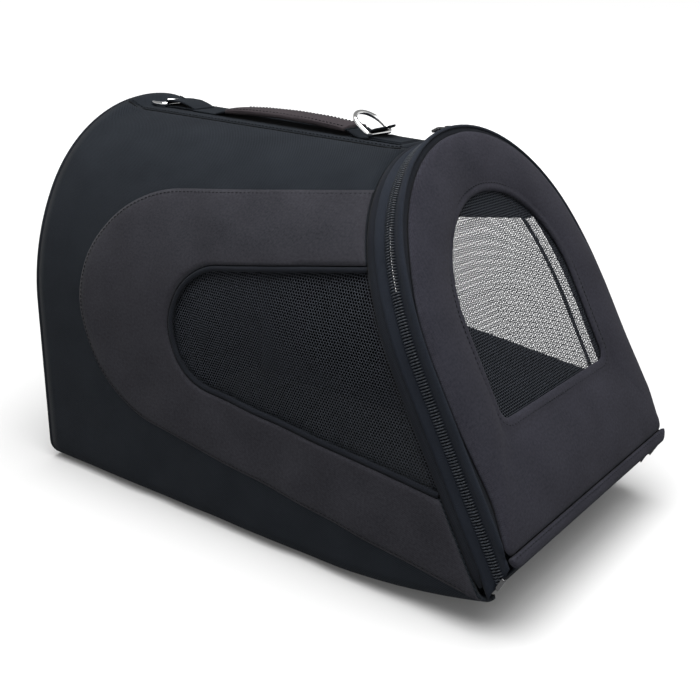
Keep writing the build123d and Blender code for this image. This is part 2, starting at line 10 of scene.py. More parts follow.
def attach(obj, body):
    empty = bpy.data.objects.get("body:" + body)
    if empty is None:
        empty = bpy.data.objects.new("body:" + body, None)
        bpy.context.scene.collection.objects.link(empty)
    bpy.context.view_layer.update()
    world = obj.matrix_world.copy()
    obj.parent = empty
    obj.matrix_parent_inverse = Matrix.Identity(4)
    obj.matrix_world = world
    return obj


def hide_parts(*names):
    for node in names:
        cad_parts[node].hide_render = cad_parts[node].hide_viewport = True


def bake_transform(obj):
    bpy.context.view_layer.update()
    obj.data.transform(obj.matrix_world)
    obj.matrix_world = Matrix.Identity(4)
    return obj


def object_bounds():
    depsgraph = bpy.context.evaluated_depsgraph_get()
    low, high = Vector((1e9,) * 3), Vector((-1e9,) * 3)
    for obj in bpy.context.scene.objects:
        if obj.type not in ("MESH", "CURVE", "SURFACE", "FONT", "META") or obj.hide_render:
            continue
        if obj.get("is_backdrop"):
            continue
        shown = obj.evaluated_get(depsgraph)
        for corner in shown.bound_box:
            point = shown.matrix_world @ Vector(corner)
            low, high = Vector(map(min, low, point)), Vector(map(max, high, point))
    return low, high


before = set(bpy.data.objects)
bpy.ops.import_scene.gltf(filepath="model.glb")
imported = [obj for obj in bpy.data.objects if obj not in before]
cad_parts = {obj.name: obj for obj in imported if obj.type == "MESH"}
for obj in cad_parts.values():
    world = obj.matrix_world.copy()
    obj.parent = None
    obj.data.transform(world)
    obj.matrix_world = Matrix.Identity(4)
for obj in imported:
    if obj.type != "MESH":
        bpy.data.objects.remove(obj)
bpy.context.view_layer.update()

# Soft pet carrier: a fabric tunnel on two wire hoops, with a sloping zipped door.
# Sizes below are millimetres, as on the pattern; make() turns them into metres.

MM = 0.001

# ---- The bag's own sizes ----------------------------------------------------------

REAR_X, FRONT_X = -209.0, 209.0
LEAN = math.radians(28.3)
SIN, COS = math.sin(LEAN), math.cos(LEAN)

Arch = namedtuple("Arch", "half_width spring apex crown_radius foot corner", defaults=(0.0, 0.0))
REAR_ARCH = Arch(130.0, 136.0, 289.0, 122.0, 0.0, 16.0)
FRONT_ARCH = Arch(126.0, 165.0, 311.0, 122.0, 0.0, 16.0)
BAND_ARCH = Arch(124.0, 168.0, 311.0, 120.0)
DOOR_ARCH = Arch(123.0, 168.0, 311.0, 119.0, 41.0, 6.0)
DOOR_WINDOW = Arch(76.0, 185.0, 263.0, 74.0, 122.0, 8.0)

BOW_START, BOW_END, BOW_RISE = 61.0, 193.0, 18.0
BOW_FADE = 90.0  # the height where the sides no longer follow the bowed base
BOW_RADIUS = ((BOW_END - BOW_START) ** 2 + BOW_RISE**2) / (2 * BOW_RISE)
ROOF_REAR_Z, ROOF_FRONT_Z, ROOF_FRONT_X = 281.0, 271.0, 63.1
ROOF_REAR_HALF, ROOF_FRONT_HALF = 28.0, 21.0
ROOF_SEAM_S = (4.783, 4.861)  # where the roof strip starts on the outline, rear and front

# Side-view teardrops: centre x and z, radius, and the rise and fall of the tangents in degrees.
WINDOW = (-18.0, 150.0, 46.0, 8.4, 6.5)
FACING = (-73.0, 151.0, 87.0, 5.4, 8.2)
TEARDROP_COUNTS = (30, 44, 36)  # points along the upper tangent, the rear circle and the lower one

# Thickness of each cloth with its lining or padding.
WALL, ROOF, BASE, REAR = 2.6, 2.4, 2.8, 2.4
FACING_CLOTH, BINDING_CLOTH, TAPE_CLOTH, HINGE = 0.8, 0.6, 0.7, 1.2

OUTWARDS = (COS, 0, SIN)  # square to the sloping front
MIDDLE = (-40, 0, 120)  # a point inside the bag
DOORWAY = (100, 0, 130)  # a point inside, just behind the door


def outline_steps(counts):
    """Steps along half an outline, so many to each of its five stretches, short of the crown."""
    return np.concatenate([np.linspace(k, k + 1, n, endpoint=False) for k, n in enumerate(counts)])


def both_halves(y, v):
    """Closes half an outline that starts on the middle line with its mirror image."""
    return np.concatenate([y, -y[::-1][:-1]]), np.concatenate([v, v[::-1][:-1]])


def inset(arch, by):
    """The parallel outline a distance inside."""
    return Arch(
        arch.half_width - by,
        arch.spring,
        arch.apex - by,
        arch.crown_radius - by,
        arch.foot + by,
        max(arch.corner - by, 0.5),
    )


def arch_at(arch, s):
    """Half the outline: s runs over floor, corner, leg, shoulder and crown, one unit each."""
    s = np.asarray(s, float)
    w, r, c = arch.half_width, arch.crown_radius, arch.corner
    rise = arch.apex - arch.spring
    shoulder = (w * w + rise * rise - 2 * rise * r) / (2 * (w - r))
    turn = math.atan2(rise - r, shoulder - w)
    k = np.clip(np.floor(s), 0, 4)
    f = s - k
    bend = f * math.pi / 2
    crown = turn + f * (math.pi / 2 - turn)
    parts = [k == 0, k == 1, k == 2, k == 3]
    y = np.select(
        parts,
        [
            f * (w - c),
            w - c + c * np.sin(bend),
            w + 0 * f,
            w - shoulder + shoulder * np.cos(f * turn),
        ],
        r * np.cos(crown),
    )
    v = np.select(
        parts,
        [
            arch.foot + 0 * f,
            arch.foot + c - c * np.cos(bend),
            arch.foot + c + f * (arch.spring - arch.foot - c),
            arch.spring + shoulder * np.sin(f * turn),
        ],
        arch.apex - r + r * np.sin(crown),
    )
    return y, v


def front_point(y, v, n):
    """A point of the sloping front: across, up the slope and out from it."""
    return np.stack([FRONT_X - v * SIN + n * COS, y + 0 * v, v * COS + n * SIN], axis=-1)


def smooth(x):
    """Eases from 0 to 1."""
    x = np.clip(x, 0.0, 1.0)
    return x * x * (3 - 2 * x)


def bow(x):
    """Height of the underside, which bows up towards the door."""
    run = np.clip(np.asarray(x, float) - BOW_START, 0, None)
    return BOW_RADIUS - np.sqrt(BOW_RADIUS**2 - run**2)


def roof_z(x):
    """Height of the flat roof strip, which falls towards the door."""
    return ROOF_REAR_Z + (ROOF_FRONT_Z - ROOF_REAR_Z) * (x - REAR_X) / (ROOF_FRONT_X - REAR_X)


def tunnel(s, t):
    """The taut tunnel between the rear outline (t = 0) and the front outline (t = 1)."""
    s, t = np.broadcast_arrays(np.asarray(s, float), np.asarray(t, float))
    y0, v0 = arch_at(REAR_ARCH, s)
    y1, v1 = arch_at(FRONT_ARCH, s)
    rear = np.stack([REAR_X + 0 * y0, y0, v0], axis=-1)
    p = rear + (front_point(y1, v1, 0.0) - rear) * t[..., None]
    x, z = p[..., 0].copy(), p[..., 2].copy()
    for _ in range(3):
        rise = bow(p[..., 0]) * np.clip(1 - z / BOW_FADE, 0, 1)
        p[..., 0] = x - rise * t * SIN / COS
    p[..., 2] = z + rise
    return p


def cloth_shape(s, t):
    """The tunnel as the cloth hangs: a flattened roof and slack, faintly rippled sides."""
    s, t = np.broadcast_arrays(np.asarray(s, float), np.asarray(t, float))
    p = tunnel(s, t)
    ends = smooth(np.minimum(t / 0.06, (1 - t) / 0.05))
    seam_y = ROOF_REAR_HALF + (ROOF_FRONT_HALF - ROOF_REAR_HALF) * t
    seam = tunnel(ROOF_SEAM_S[0] + (ROOF_SEAM_S[1] - ROOF_SEAM_S[0]) * t, t)
    over = np.abs(p[..., 1]) < seam_y
    drop = np.where(over, p[..., 2] - roof_z(p[..., 0]), seam[..., 2] - roof_z(seam[..., 0]))
    away = 1 - smooth((np.abs(p[..., 1]) - seam_y) / 45)
    roof = np.where(s > 3.5, drop * away * ends, 0)
    p[..., 2] = p[..., 2] - roof
    side = smooth((s - 1.0) / 1.0) * smooth((4.8 - s) / 0.8) * np.sin(math.pi * t) ** 0.8
    x, z = p[..., 0], p[..., 2]
    ripple = (
        0.55 * np.sin(0.052 * x + 0.031 * z + 1.2)
        + 0.45 * np.sin(0.083 * x - 0.064 * z + 0.4)
        + 0.30 * np.sin(0.131 * x + 0.102 * z + 2.1)
    )
    p[..., 1] = p[..., 1] + side * (0.6 + ripple)
    return p


FOOT_LIFT = 7.0  # the left front foot is drawn up a little by the hinge


def shell(s, t, lift=0.0, hand=1):
    """The bag's outer face, raised by a distance; hand is 1 for the left and -1 for the right."""
    s, t = np.broadcast_arrays(np.asarray(s, float), np.asarray(t, float))
    e = 2e-3
    s0, t0 = np.clip(s, e, 5 - e), np.clip(t, e, 1 - e)
    along = cloth_shape(s0, t0 + e) - cloth_shape(s0, t0 - e)
    round_ = cloth_shape(s0 + e, t0) - cloth_shape(s0 - e, t0)
    normal = np.cross(round_, along)
    normal /= np.linalg.norm(normal, axis=-1, keepdims=True)
    normal *= np.sign((normal * (cloth_shape(s0, t0) - [0, 0, 120])).sum(-1))[..., None]
    p = cloth_shape(s, t) + normal * np.asarray(lift)[..., None]
    if hand > 0:
        p[..., 2] += FOOT_LIFT * smooth((p[..., 0] - 130) / 70) * smooth((90 - p[..., 2]) / 70)
    return p * [1, hand, 1]


def settle(x, z):
    """Finds s and t of the points of a side view on the tunnel's wall."""
    x, z = np.asarray(x, float), np.asarray(z, float)
    t = (x - REAR_X) / (FRONT_X - REAR_X - 0.5 * z)
    s = 2.0 + np.clip(z / 150, 0.1, 1.6)
    e = 1e-4
    for _ in range(40):
        here = tunnel(s, t)
        by_s, by_t = (tunnel(s + e, t) - here) / e, (tunnel(s, t + e) - here) / e
        a, b, c, d = by_s[..., 0], by_t[..., 0], by_s[..., 2], by_t[..., 2]
        rx, rz = x - here[..., 0], z - here[..., 2]
        det = a * d - b * c
        s = np.clip(s + np.clip((d * rx - b * rz) / det, -0.2, 0.2), 1.2, 4.9)
        t = np.clip(t + np.clip((a * rz - c * rx) / det, -0.2, 0.2), -0.1, 1.1)
    return s, t


def teardrop(shape, grow=0.0):
    """Side-view outline from the door's edge, round the rear circle, back to the door."""
    cx, cz, radius, rise, fall = shape
    counts = TEARDROP_COUNTS
    size, rise, fall = radius + grow, math.radians(rise), math.radians(fall)
    top = (cx - size * math.sin(rise), cz + size * math.cos(rise))
    low = (cx - size * math.sin(fall), cz - size * math.cos(fall))
    slope = math.tan(LEAN)

    def at_door(point, gradient):
        x = (FRONT_X - (point[1] - gradient * point[0]) * slope) / (1 + gradient * slope)
        return x, point[1] + gradient * (x - point[0])

    far_top, far_low = at_door(top, math.tan(rise)), at_door(low, -math.tan(fall))
    run = np.linspace(0, 1, counts[0], endpoint=False)[:, None]
    angle = np.linspace(math.pi / 2 + rise, 1.5 * math.pi - fall, counts[1], endpoint=False)
    back = np.linspace(0, 1, counts[2])[:, None]
    return np.concatenate(
        [
            np.array(far_top) * (1 - run) + np.array(top) * run,
            np.stack([cx + size * np.cos(angle), cz + size * np.sin(angle)], axis=1),
            np.array(low) * (1 - back) + np.array(far_low) * back,
        ]
    )


# ---- Making meshes ----------------------------------------------------------------


def srgb(code):
    """A hex colour as linear RGBA."""
    v = [int(code[i : i + 2], 16) / 255 for i in (1, 3, 5)]
    return [c / 12.92 if c <= 0.04045 else ((c + 0.055) / 1.055) ** 2.4 for c in v] + [1.0]


def make(name, points, faces, material, threads=None):
    """A smooth-shaded piece from millimetre points. threads holds warp and weft distances."""
    mesh = bpy.data.meshes.new(name)
    mesh.from_pydata((np.asarray(points, float) * MM).tolist(), [], [list(f) for f in faces])
    mesh.polygons.foreach_set("use_smooth", [True] * len(mesh.polygons))
    mesh.materials.append(material)
    piece = bpy.data.objects.new(name, mesh)
    bpy.context.collection.objects.link(piece)
    if threads is not None:
        weave(piece, threads)
    return piece


def weave(piece, threads):
    """Lays warp and weft distances in millimetres on the cloth for its pattern."""
    layer = piece.data.attributes.new("threads", "FLOAT_VECTOR", "POINT")
    flat = np.zeros((len(piece.data.vertices), 3), np.float32)
    flat[:, : threads.shape[-1]] = threads.reshape(-1, threads.shape[-1])
    layer.data.foreach_set("vector", flat.ravel())


def grid_faces(rows, columns, close_rows=False, close_columns=False, start=0):
    """Quads of a rows by columns sheet of points."""
    out = []
    for i in range(rows if close_rows else rows - 1):
        for j in range(columns if close_columns else columns - 1):
            a, b = i % rows, (i + 1) % rows
            c, d = j % columns, (j + 1) % columns
            quad = (a * columns + c, b * columns + c, b * columns + d, a * columns + d)
            out.append(tuple(start + corner for corner in quad))
    return out


def face_out(piece, middle):
    """Turns an open sheet so that its faces look away from a point inside the bag."""
    mesh = piece.data
    away = sum(
        (p.center / MM - Vector(middle)).normalized().dot(p.normal) * p.area for p in mesh.polygons
    )
    if away < 0:
        mesh.flip_normals()
    return piece


def close_up(piece):
    """Makes a closed piece's faces look outwards."""
    mesh = bmesh.new()
    mesh.from_mesh(piece.data)
    bmesh.ops.recalc_face_normals(mesh, faces=mesh.faces)
    mesh.to_mesh(piece.data)
    mesh.free()
    return piece


def thicken(piece, thickness, offset=-1.0):
    """Gives a sheet its real thickness, inwards from its outer face."""
    wall = piece.modifiers.new("thickness", "SOLIDIFY")
    wall.thickness, wall.offset = thickness * MM, offset
    return piece


def lengths(points):
    """Distance run along the first axis of an array of points."""
    step = np.linalg.norm(np.diff(points, axis=0), axis=-1)
    return np.concatenate([np.zeros((1,) + step.shape[1:]), np.cumsum(step, axis=0)])


def unit(v):
    """Vectors of length 1."""
    return v / np.maximum(np.linalg.norm(v, axis=-1, keepdims=True), 1e-9)


def sweep(name, path, up, section, material, closed=False, scale=None):
    """Carries a closed cross-section along a path; section is (sideways, up) from the path."""
    path, section = np.asarray(path, float), np.asarray(section, float)
    ahead = np.roll(path, -1, 0) - np.roll(path, 1, 0)
    if not closed:
        ahead[0], ahead[-1] = path[1] - path[0], path[-1] - path[-2]
    ahead = unit(ahead)
    up = np.broadcast_to(np.asarray(up, float), path.shape)
    up = unit(up - (up * ahead).sum(1)[:, None] * ahead)
    aside = np.cross(ahead, up)
    size = np.ones(len(path)) if scale is None else np.asarray(scale)
    points = (
        path[:, None]
        + aside[:, None] * (section[None, :, :1] * size[:, None, None])
        + up[:, None] * (section[None, :, 1:] * size[:, None, None])
    )
    n, m = len(path), len(section)
    faces = grid_faces(n, m, close_rows=closed, close_columns=True)
    if not closed:
        faces += [tuple(range(m)), tuple(range((n - 1) * m, n * m))]
    along = lengths(path)[:, None] + 0 * section[None, :, 0]
    girth = lengths(np.vstack([section, section[:1]]))[:-1][None, :] + 0 * along
    piece = make(name, points.reshape(-1, 3), faces, material, np.stack([along, girth], -1))
    return close_up(piece)


def round_section(wide, high, count=12, power=2.0):
    """An oval, or with a higher power a softened rectangle, as a cross-section."""
    a = np.linspace(0, 2 * math.pi, count, endpoint=False)
    c, s = np.cos(a), np.sin(a)
    aside = wide * np.sign(c) * np.abs(c) ** (2 / power)
    up = high * np.sign(s) * np.abs(s) ** (2 / power)
    return np.stack([aside, up], 1)


def spaced(path, step):
    """The path again, with points an even step apart."""
    path = np.asarray(path, float)
    run = lengths(path)
    at = np.linspace(0, run[-1], max(3, int(round(run[-1] / step)) + 1))
    return np.stack([np.interp(at, run, path[:, k]) for k in range(3)], 1)


def whole_arch(arch, n, foot=None, per=(1, 6, 14, 16, 20), floor=True):
    """The arch in the front's plane at height n, from the right foot over to the left."""
    arch = arch if foot is None else arch._replace(foot=foot)
    s = np.append(outline_steps(per), 5.0)
    if not floor:
        s = s[s >= 2]
    y, v = arch_at(arch, s)
    y, v = np.concatenate([-y, y[-2::-1]]), np.concatenate([v, v[-2::-1]])
    return front_point(y, v, n)


STITCH_PITCH, STITCH_LENGTH, STITCH_THICK = 3.4, 2.3, 0.32


def stitches(name, path, up, material, closed=False):
    """A row of thread stitches lying along a path, each a small capsule sunk at its ends."""
    up = np.broadcast_to(np.asarray(up, float), np.shape(path))
    path = np.asarray(path, float)
    run = lengths(np.vstack([path, path[:1]]) if closed else path)
    loop = np.vstack([path, path[:1]]) if closed else path
    tops = np.vstack([up, up[:1]]) if closed else up
    at = np.arange(STITCH_PITCH / 2, run[-1], STITCH_PITCH)
    reach = np.array([-0.5, -0.36, 0.0, 0.36, 0.5]) * STITCH_LENGTH
    size = np.array([0.25, 0.8, 1.0, 0.8, 0.25]) * STITCH_THICK
    sink = np.array([-0.35, 0.0, 0.12, 0.0, -0.35])
    ring = np.linspace(0, 2 * math.pi, 6, endpoint=False)
    points, faces = [], []
    for middle in at:
        where = np.clip(middle + reach, 0, run[-1])
        spine = np.stack([np.interp(where, run, loop[:, k]) for k in range(3)], 1)
        top = unit(np.array([np.interp(middle, run, tops[:, k]) for k in range(3)]))
        ahead = unit(spine[-1] - spine[0])
        aside = unit(np.cross(ahead, top))
        start = len(points) * 6
        for p, r, d in zip(spine, size, sink):
            points.append(
                p + top * d + (aside * np.cos(ring)[:, None] + top * np.sin(ring)[:, None]) * r
            )
        faces += grid_faces(5, 6, close_columns=True, start=start)
        faces.append(tuple(start + i for i in range(5, -1, -1)))
        faces.append(tuple(start + 24 + i for i in range(6)))
    return close_up(make(name, np.vstack(points), faces, material))


SIMULATED_FRAMES = 20


def plump(piece, held, reach):
    """Fills a closed pad by cloth simulation under pressure, held at its seams.

    The swelling stays under reach, in millimetres.
    """
    seams = piece.vertex_groups.new(name="seams")
    for index, weight in enumerate(np.asarray(held, float).ravel()):
        seams.add([index], float(weight), "REPLACE")
    cloth = piece.modifiers.new("cloth", "CLOTH")
    cloth.settings.quality = 8
    cloth.settings.mass = 0.25
    cloth.settings.use_pressure = True
    cloth.settings.uniform_pressure_force = 3.0
    cloth.settings.tension_stiffness = cloth.settings.compression_stiffness = 20
    cloth.settings.bending_stiffness = 0.3
    cloth.settings.vertex_group_mass = "seams"
    cloth.settings.effector_weights.gravity = 0
    cloth.point_cache.frame_start, cloth.point_cache.frame_end = 1, SIMULATED_FRAMES
    rest = np.array([v.co for v in piece.data.vertices])
    for count in range(1, SIMULATED_FRAMES + 1):
        bpy.context.scene.frame_set(count)
    shown = piece.evaluated_get(bpy.context.evaluated_depsgraph_get())
    moved = np.array([v.co for v in shown.data.vertices]) - rest
    size = np.linalg.norm(moved, axis=1, keepdims=True)
    cap = reach * MM
    moved *= cap * np.tanh(size / cap) / np.maximum(size, 1e-9)
    piece.modifiers.remove(cloth)
    piece.vertex_groups.remove(seams)
    piece.data.vertices.foreach_set("co", (rest + moved).astype(np.float32).ravel())
    piece.data.update()
    bpy.context.scene.frame_set(1)
    return piece


def path_share(piece, ends):
    """1 at a piece's two ends along the bag, 0 between them."""
    x = np.array([v.co.x for v in piece.data.vertices]) / MM
    near = np.minimum(x - ends[0], ends[1] - x)
    return 1.0 - smooth(near / 6.0)


def place(piece, body, slot, *nodes):
    """Rides a piece on its body and hides the nodes it stands for; slot, the finish's name, is not used."""
    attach(piece, body)
    if nodes:
        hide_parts(*nodes)
    return piece


# ---- Finishes ---------------------------------------------------------------------


def add(tree, kind, inputs=None, **settings):
    """Adds a node with its settings, values and links."""
    made = tree.nodes.new("ShaderNode" + kind)
    for key, value in settings.items():
        setattr(made, key, value)
    for socket, value in (inputs or {}).items():
        if isinstance(value, bpy.types.NodeSocket):
            tree.links.new(value, made.inputs[socket])
        else:
            made.inputs[socket].default_value = value
    return made


def blank(name):
    """A new material's node tree and its emptied surface."""
    material = bpy.data.materials.new(name)
    material.use_nodes = True
    tree = material.node_tree
    tree.nodes.clear()
    return material, tree


def ramp(tree, factor, low, high, start=0.0, end=1.0):
    """Blends two hex colours over part of a factor's range."""
    made = add(tree, "ValToRGB", {"Fac": factor})
    made.color_ramp.elements[0].position, made.color_ramp.elements[1].position = start, end
    made.color_ramp.elements[0].color, made.color_ramp.elements[1].color = srgb(low), srgb(high)
    return made


def woven(name, dark, light, pitch, relief, rough, ribs=(1.0, 1.0), slub=0.35):
    """Cloth woven at a thread pitch in millimetres: crossing threads, slubs and soft shading.

    ribs stretches the pitch of the warp and the weft, and slub is the share of uneven yarn.
    """
    material, tree = blank(name)
    threads = add(tree, "Attribute", attribute_name="threads").outputs["Vector"]
    split = add(tree, "SeparateXYZ", {0: threads})
    wave = []
    for axis, rib in zip("XY", ribs):
        per_mm = 2 * math.pi / (pitch * rib)
        turns = add(tree, "Math", {0: split.outputs[axis], 1: per_mm}, operation="MULTIPLY")
        wave.append(add(tree, "Math", {0: turns.outputs[0]}, operation="SINE").outputs[0])
    cross = add(tree, "Math", {0: wave[0], 1: wave[1]}, operation="MULTIPLY")
    lift = add(tree, "MapRange", {"Value": cross.outputs[0], "From Min": -1.0, "From Max": 1.0})
    grit = {"Vector": threads, "Scale": 0.75 / pitch, "Detail": 4.0, "Roughness": 0.75}
    slubs = add(tree, "TexNoise", grit).outputs["Fac"]
    cloud = add(tree, "TexNoise", {"Vector": threads, "Scale": 0.03, "Detail": 2.0}).outputs["Fac"]
    yarn = {"Factor": slub, "A": lift.outputs[0], "B": slubs}
    tone = add(tree, "Mix", yarn, data_type="FLOAT")
    dyed = add(tree, "Mix", {"Factor": 0.2, "A": tone.outputs[0], "B": cloud}, data_type="FLOAT")
    colour = ramp(tree, dyed.outputs[0], dark, light, 0.34, 0.66)
    gloss = add(tree, "MapRange", {"Value": slubs, "To Min": rough[0], "To Max": rough[1]})
    bump = add(tree, "Bump", {"Height": tone.outputs[0], "Strength": 0.55, "Distance": relief * MM})
    surface = add(
        tree,
        "BsdfPrincipled",
        {
            "Base Color": colour.outputs[0],
            "Roughness": gloss.outputs[0],
            "Normal": bump.outputs[0],
            "Sheen Weight": 0.02,
            "Sheen Roughness": 0.5,
            "Specular IOR Level": 0.0,
        },
    )
    add(tree, "OutputMaterial", {"Surface": surface.outputs[0]})
    return material


def grained(name, dark, light, grain_mm, rough, **looks):
    """A moulded, drawn, plated or napped finish with a fine grain of its own.

    looks may give relief in millimetres, metallic, coat, sheen and gloss_level.
    """
    material, tree = blank(name)
    spot = add(tree, "TexCoord").outputs["Object"]
    grit = {"Vector": spot, "Scale": 1 / (grain_mm * MM), "Detail": 4.0}
    grain = add(tree, "TexNoise", grit).outputs["Fac"]
    colour = ramp(tree, grain, dark, light, 0.35, 0.65)
    gloss = add(tree, "MapRange", {"Value": grain, "To Min": rough[0], "To Max": rough[1]})
    inputs = {
        "Base Color": colour.outputs[0],
        "Roughness": gloss.outputs[0],
        "Metallic": looks.get("metallic", 0.0),
        "Coat Weight": looks.get("coat", 0.0),
        "Sheen Weight": looks.get("sheen", 0.0),
        "Specular IOR Level": looks.get("gloss_level", 0.5),
    }
    if "relief" in looks:
        bump = {"Height": grain, "Strength": 0.6, "Distance": looks["relief"] * MM}
        inputs["Normal"] = add(tree, "Bump", bump).outputs[0]
    surface = add(tree, "BsdfPrincipled", inputs)
    add(tree, "OutputMaterial", {"Surface": surface.outputs[0]})
    return material


# Every weave below is drawn two to four times coarser than the real one, so that it shows.
# 600-denier polyester: plain weave, dull and slightly blue where the light grazes it.
OXFORD = woven("polyester_600d", "#090b0e", "#1d2024", 1.5, 0.3, (0.7, 0.9))
# Brushed microfibre: matt and a little warmer, its weave nearly lost under the nap.
MICROFIBRE = woven("brushed_microfibre", "#161619", "#29292d", 1.4, 0.1, (0.85, 0.97), slub=0.75)
# The same cloth over the door's padding, with painted shade: a darker copy of its colours for the door.
SHADED_DOOR_CLOTH = woven("brushed_microfibre_door_painted_shade", "#141418", "#27272d", 1.4, 0.1, (0.85, 0.97), slub=0.75)
# Warp-knit polyester net: round yarn, so each bar catches a small soft highlight.
NET = grained("warp_knit_net", "#121417", "#272a30", 0.6, (0.5, 0.7), gloss_level=0.12)
# Bias binding over cord: the same polyester cut at 45 degrees, pulled tight.
BINDING = woven("bias_binding", "#0c0d10", "#191b1f", 1.4, 0.15, (0.6, 0.8))
# Zip tape: a herringbone of fine polyester with a cooler, smoother face.
TAPE = woven("zip_tape", "#0e1014", "#1f2228", 1.4, 0.15, (0.6, 0.8), ribs=(0.6, 1.6))
# Nylon coil: moulded monofilament, smooth enough to glint on each turn.
COIL = grained("nylon_coil", "#15181c", "#24282e", 1.5, (0.35, 0.5), gloss_level=0.2)
# Enamelled zinc sliders: a black baked coat with rounded glossy edges.
ENAMEL = grained("black_enamel", "#0b0b0d", "#121216", 2.0, (0.2, 0.35), coat=0.3)
# Spring wire in a black polymer coat, quite matt.
SPRING = grained("coated_spring_wire", "#060607", "#0b0b0d", 1.0, (0.8, 0.9), gloss_level=0.05)
# Chromed steel rings: bright mirror plating with faint wear.
CHROME = grained("chrome_plate", "#cfd0d2", "#e6e6e4", 4.0, (0.06, 0.16), metallic=1.0)
# Grip wrap: brushed cloth in a browner charcoal, rubbed a little lighter.
GRIP_CLOTH = woven("grip_wrap", "#1c191b", "#302c2e", 1.4, 0.1, (0.8, 0.95), slub=0.7)
# Polypropylene webbing: coarse ribs across the strap.
WEBBING = woven("ribbed_webbing", "#090b0d", "#1b1e22", 1.8, 0.3, (0.55, 0.75), ribs=(1.0, 0.7))
# Fleece pad: curled pile, very matt with a soft bright rim.
PILE = {"relief": 1.2, "sheen": 0.1, "gloss_level": 0.05}
FLEECE = grained("fleece", "#08090b", "#15171a", 1.8, (0.92, 1.0), **PILE)
# Fibreboard insert under the pad: pressed brown fibres.
BOARD = grained("fibreboard", "#33291f", "#55473a", 0.9, (0.8, 0.95), relief=0.1)
# Bonded nylon thread, darker than the cloth it holds and faintly glossy.
THREAD = grained("bonded_thread", "#060708", "#101214", 0.4, (0.6, 0.75), gloss_level=0.05)

# ---- Side walls -------------------------------------------------------------------


def seam_s(t):
    """Where the roof seam runs on the outline."""
    return ROOF_SEAM_S[0] + (ROOF_SEAM_S[1] - ROOF_SEAM_S[0]) * t


def between(inner, outer, steps, lift, hand):
    """Cloth ruled between two curves given as (s, t), on the bag's wall."""
    k = np.asarray(steps, float)[None, :]
    s = inner[0][:, None] * (1 - k) + outer[0][:, None] * k
    t = inner[1][:, None] * (1 - k) + outer[1][:, None] * k
    return shell(s, t, np.broadcast_to(lift, s.shape), hand)


def wall_threads(points):
    """Warp along the bag and weft up the wall, from the places of the points."""
    return np.stack([points[..., 0], points[..., 2] - 0.6 * np.abs(points[..., 1])], -1)


def outer_edge():
    """The panel's cut edge, matched point by point to the window: roof, rear, base."""
    a, b, c = TEARDROP_COUNTS
    top = np.linspace(1, 0, a, endpoint=False)
    rear = np.linspace(ROOF_SEAM_S[0], 1.0, b, endpoint=False)
    base = np.linspace(0, 1, c)
    s = np.concatenate([seam_s(top), rear, 1.0 + 0 * base])
    t = np.concatenate([top, 0 * rear, base])
    return s, t


CELL, HOLE = 2.1, 0.73  # a knitted cell's width, and its hole's share of that


def net(name, region, place_on):
    """A hexagonal knit of bars round open holes, kept inside a region, with its thread area in m2."""
    across, up = CELL, CELL * math.sqrt(3) / 2
    low, high = region["box"]
    cells = []
    for row in range(int((high[1] - low[1]) / up) + 1):
        y = low[1] + row * up
        x0 = low[0] + (across / 2 if row % 2 else 0)
        cells += [(x0 + i * across, y) for i in range(int((high[0] - low[0]) / across) + 1)]
    cells = np.array(cells)
    cells = cells[region["inside"](cells[:, 0], cells[:, 1])]
    corner = np.arange(6) * math.pi / 3 + math.pi / 6
    ring = np.stack([np.cos(corner), np.sin(corner)], 1) * CELL / math.sqrt(3)
    outer = (cells[:, None] + ring[None]).reshape(-1, 2)
    inner = (cells[:, None] + ring[None] * HOLE).reshape(-1, 2)
    keys, index = np.unique(np.round(outer, 3), axis=0, return_inverse=True)
    index = index.reshape(-1, 6)
    flat = np.vstack([keys, inner])
    raised = np.concatenate([np.full(len(keys), 0.16), np.full(len(inner), -0.1)])
    points = place_on(flat[:, 0], flat[:, 1], raised)
    faces = []
    for i, six in enumerate(index):
        start = len(keys) + 6 * i
        for j in range(6):
            k = (j + 1) % 6
            faces.append((int(six[j]), int(six[k]), start + k, start + j))
    piece = make(name, points, faces, NET)
    thread_area = len(cells) * CELL * up * (1 - HOLE**2)
    return piece, thread_area * MM * MM


def in_teardrop(shape, grow):
    """Tells which side-view points lie inside a teardrop, grown by a lap."""
    outline = teardrop(shape, grow)

    def inside(x, z):
        hits = np.zeros(len(x), bool)
        ends = np.roll(outline, -1, axis=0)
        for (x0, z0), (x1, z1) in zip(outline, ends):
            spans = (z0 > z) != (z1 > z)
            cut = x0 + (z - z0) * (x1 - x0) / (z1 - z0 if z1 != z0 else 1e-9)
            hits ^= spans & (x < cut)
        return hits

    return {"box": (outline.min(0), outline.max(0)), "inside": inside}


window_edge = settle(*teardrop(WINDOW).T)
window_lap = settle(*teardrop(WINDOW, 7.5).T)
window_inside = settle(*teardrop(WINDOW, -2.2).T)
facing_edge = settle(*teardrop(FACING).T)
facing_stitch = settle(*teardrop(FACING, -2.5).T)
panel_edge = outer_edge()

SIDES = (("right", -1), ("left", 1))


def ruled(name, points, material, thickness):
    """A carrier cloth from a sheet of wall points."""
    piece = make(name, points.reshape(-1, 3), grid_faces(*points.shape[:2]), material, wall_threads(points))
    return thicken(face_out(piece, MIDDLE), thickness)


def side_wall(side, hand):
    """The black side panel, cut away at the window."""
    panel = between(window_edge, panel_edge, np.linspace(0, 1, 26) ** 1.1, 0.0, hand)
    piece = ruled(f"side_cloth_{side}", panel, OXFORD, WALL)
    place(piece, "carrier", "black_fabric", f"side_panel_{side}")


